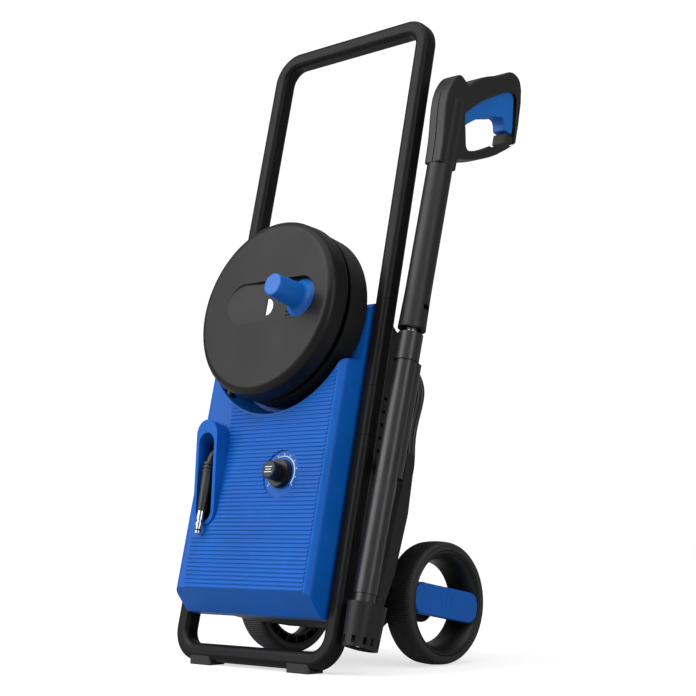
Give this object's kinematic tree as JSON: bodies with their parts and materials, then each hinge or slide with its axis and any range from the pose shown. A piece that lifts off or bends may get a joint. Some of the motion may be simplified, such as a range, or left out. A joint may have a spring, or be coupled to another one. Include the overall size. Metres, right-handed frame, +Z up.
{
  "type": "pressure washer",
  "caption": "Upright electric pressure washer with a front hose reel, power dial, trailing cord, two rear wheels and a spray gun with its lance held at the side.",
  "frame": {"origin": "on the floor, under the middle of the whole object's outline without its mains cord", "axes": "+Z up, -Y towards the front with the hose reel, +X towards the side that carries the lance"},
  "size_m": [0.361, 0.3814, 0.8955],
  "materials": {
    "black_steel": "satin",
    "blue_plastic": "satin",
    "azure_plastic": "satin",
    "black_plastic": "matte",
    "grey_plastic": "satin",
    "rubber": "matte",
    "tyre": "matte",
    "cord": "matte",
    "steel": "satin",
    "chrome": "polished",
    "brass": "satin",
    "aluminium": "cast",
    "iron": "laminated",
    "pipe": "matte"
  },
  "bodies": {
    "machine": {"axle": "steel", "axle_carrier": "black_plastic", "cable_hook_lower": "black_plastic", "collar_tubes": "black_steel", "control_box": "black_plastic", "cord_gland": "black_plastic", "cord_hank": "cord", "cord_lead": "cord", "foot_frame": "black_steel", "foot_pads": "rubber", "frame_bolts": "steel", "front_cover": "blue_plastic", "handle_loop": "black_steel", "hose_lead": "rubber", "hose_nipple": "chrome", "hose_sleeve": "rubber", "inlet_connector": "black_plastic", "joint_plugs": "black_plastic", "lance_cup": "black_plastic", "lower_tubes": "black_steel", "mains_plug": "cord", "motor_housing": "grey_plastic", "motor_stator": "iron", "nipple_seal": "rubber", "pump_body": "aluminium", "pump_head": "aluminium", "push_nuts": "steel", "rear_housing": "black_plastic", "reel_bracket": "black_steel", "reel_ring": "black_plastic", "reel_spindle": "steel", "swivel_body": "brass", "upper_tubes": "black_steel", "water_pipes": "pipe"},
    "wheel_left": {"tyre_left": "tyre", "rim_left": "grey_plastic", "hub_bush_left": "grey_plastic", "wheel_cap_left": "blue_plastic"},
    "wheel_right": {"tyre_right": "tyre", "rim_right": "grey_plastic", "hub_bush_right": "grey_plastic", "wheel_cap_right": "blue_plastic"},
    "reel": {"reel_disc": "grey_plastic", "reel_spool": "grey_plastic", "hose_pack": "rubber", "crank_pin": "steel"},
    "crank": {"crank_knob": "blue_plastic"},
    "dial": {"power_dial": "black_plastic"},
    "gun": {"gun_shell_left": "black_plastic", "gun_shell_right": "black_plastic", "gun_valve": "brass", "gun_barrel": "black_plastic", "trigger_pin": "steel"},
    "trigger": {"gun_trigger": "azure_plastic"},
    "lock": {"trigger_lock": "black_plastic"},
    "lance": {"lance_fairing": "grey_plastic", "lance_rod": "steel"},
    "nozzle_tip": {"nozzle": "grey_plastic"},
    "hook": {"cable_hook_upper": "black_plastic"},
    "rotor": {"motor_rotor": "iron"}
  },
  "joints": [
    {"name": "wheel_left_spin", "type": "hinge", "parent": "machine", "child": "wheel_left", "pos_m": [-0.018, 0.0481, 0.082], "axis": [1, 0, 0], "continuous": true},
    {"name": "wheel_right_spin", "type": "hinge", "parent": "machine", "child": "wheel_right", "pos_m": [-0.018, 0.0481, 0.082], "axis": [1, 0, 0], "continuous": true},
    {"name": "reel_turn", "type": "hinge", "parent": "machine", "child": "reel", "pos_m": [-0.018, -0.05266, 0.45881], "axis": [0, -0.9751, 0.2215], "continuous": true},
    {"name": "crank_spin", "type": "hinge", "parent": "reel", "child": "crank", "pos_m": [0.046, -0.15849, 0.48952], "axis": [0, -0.9751, 0.2215], "continuous": true},
    {"name": "dial_turn", "type": "hinge", "parent": "machine", "child": "dial", "pos_m": [0.027, -0.15094, 0.25194], "axis": [0, -0.9751, 0.2215], "range_deg": [0, 270]},
    {"name": "gun_lift", "type": "slide", "parent": "machine", "child": "gun", "axis": [0, 0.2588, 0.9659], "range_m": [0, 0.15]},
    {"name": "trigger_pull", "type": "hinge", "parent": "gun", "child": "trigger", "pos_m": [0.16, 0.05711, 0.75831], "axis": [1, 0, 0], "range_deg": [0, 6], "stiffness_Nm_per_rad": 0.5, "springref_deg": -11.46},
    {"name": "trigger_lock_slide", "type": "slide", "parent": "gun", "child": "lock", "axis": [1, 0, 0], "range_m": [0, 0.004]},
    {"name": "lance_twist", "type": "hinge", "parent": "gun", "child": "lance", "pos_m": [0.16, -0.0413, 0.44511], "axis": [0, 0.2588, 0.9659], "range_deg": [0, 45]},
    {"name": "nozzle_turn", "type": "hinge", "parent": "lance", "child": "nozzle_tip", "pos_m": [0.16, -0.13965, 0.07806], "axis": [0, 0.2588, 0.9659], "range_deg": [0, 90]},
    {"name": "hook_turn", "type": "hinge", "parent": "machine", "child": "hook", "pos_m": [-0.018, 0.08154, 0.37243], "axis": [0, -0.9751, 0.2215], "range_deg": [0, 180]},
    {"name": "motor_spin", "type": "hinge", "parent": "machine", "child": "rotor", "pos_m": [-0.028, -0.04655, 0.28258], "axis": [0, 0.2215, 0.9751], "continuous": true}
  ]
}
